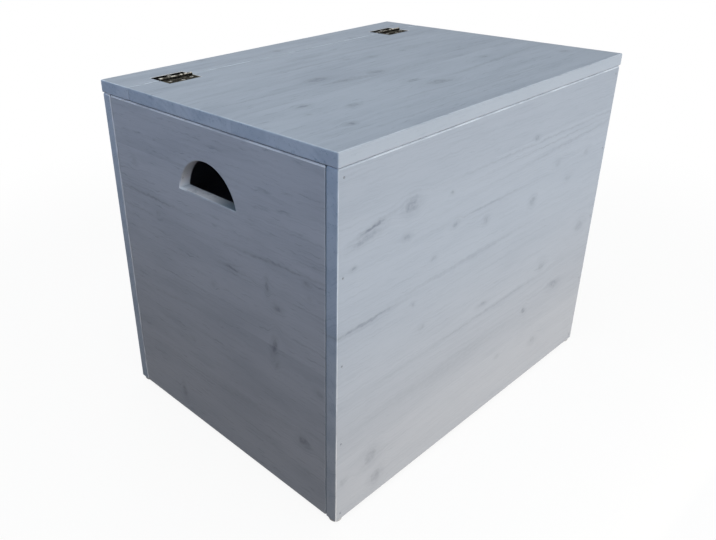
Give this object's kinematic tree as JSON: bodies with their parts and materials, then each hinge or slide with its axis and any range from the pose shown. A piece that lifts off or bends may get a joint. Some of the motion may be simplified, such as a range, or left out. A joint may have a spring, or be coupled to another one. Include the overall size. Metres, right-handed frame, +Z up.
{
  "type": "storage chest",
  "caption": "Box-shaped wooden storage chest with a flat hinged lid, a fixed rear rail and a D-shaped hand hole in each side.",
  "frame": {"origin": "on the ground under the middle of the chest, in the plane of the glides' soles", "axes": "+Z up, +X along the long side to the right as seen from the front, front faces -Y"},
  "size_m": [0.6336, 0.4686, 0.5266],
  "materials": {
    "washed_spruce": "translucent grey-blue wash on spruce board, satin",
    "beech": "bare beech dowel",
    "nail_steel": "dull steel nail",
    "dark_hinge_steel": "dark polished steel sheet",
    "bright_steel": "bright plated steel",
    "glide_plastic": "pale grey moulded plastic"
  },
  "bodies": {
    "chest": {"front_panel": "washed_spruce", "back_panel": "washed_spruce", "left_side_panel": "washed_spruce", "right_side_panel": "washed_spruce", "bottom_panel": "washed_spruce", "cleat_front": "washed_spruce", "cleat_back": "washed_spruce", "cleat_left": "washed_spruce", "cleat_right": "washed_spruce", "rear_rail": "washed_spruce", "glide_front_left": "glide_plastic", "nail_front_left_1": "nail_steel", "nail_front_left_2": "nail_steel", "nail_front_left_3": "nail_steel", "nail_front_left_4": "nail_steel", "nail_front_left_5": "nail_steel", "glide_front_right": "glide_plastic", "nail_front_right_1": "nail_steel", "nail_front_right_2": "nail_steel", "nail_front_right_3": "nail_steel", "nail_front_right_4": "nail_steel", "nail_front_right_5": "nail_steel", "glide_back_left": "glide_plastic", "nail_back_left_1": "nail_steel", "nail_back_left_2": "nail_steel", "nail_back_left_3": "nail_steel", "nail_back_left_4": "nail_steel", "nail_back_left_5": "nail_steel", "glide_back_right": "glide_plastic", "nail_back_right_1": "nail_steel", "nail_back_right_2": "nail_steel", "nail_back_right_3": "nail_steel", "nail_back_right_4": "nail_steel", "nail_back_right_5": "nail_steel", "dowel_left": "beech", "dowel_back_left": "beech", "rail_leaf_left": "dark_hinge_steel", "hinge_pin_left": "bright_steel", "rail_screw_left_1": "bright_steel", "rail_screw_left_2": "bright_steel", "rail_screw_left_3": "bright_steel", "dowel_right": "beech", "dowel_back_right": "beech", "rail_leaf_right": "dark_hinge_steel", "hinge_pin_right": "bright_steel", "rail_screw_right_1": "bright_steel", "rail_screw_right_2": "bright_steel", "rail_screw_right_3": "bright_steel"},
    "lid": {"lid": "washed_spruce", "lid_leaf_left": "dark_hinge_steel", "lid_leaf_right": "dark_hinge_steel", "lid_screw_left_1": "bright_steel", "lid_screw_left_2": "bright_steel", "lid_screw_left_3": "bright_steel", "lid_screw_right_1": "bright_steel", "lid_screw_right_2": "bright_steel", "lid_screw_right_3": "bright_steel"}
  },
  "joints": [
    {"name": "lid_hinge", "type": "hinge", "parent": "chest", "child": "lid", "pos_m": [0, 0.1618, 0.5242], "axis": [-1, 0, 0], "range_deg": [0, 180]}
  ]
}
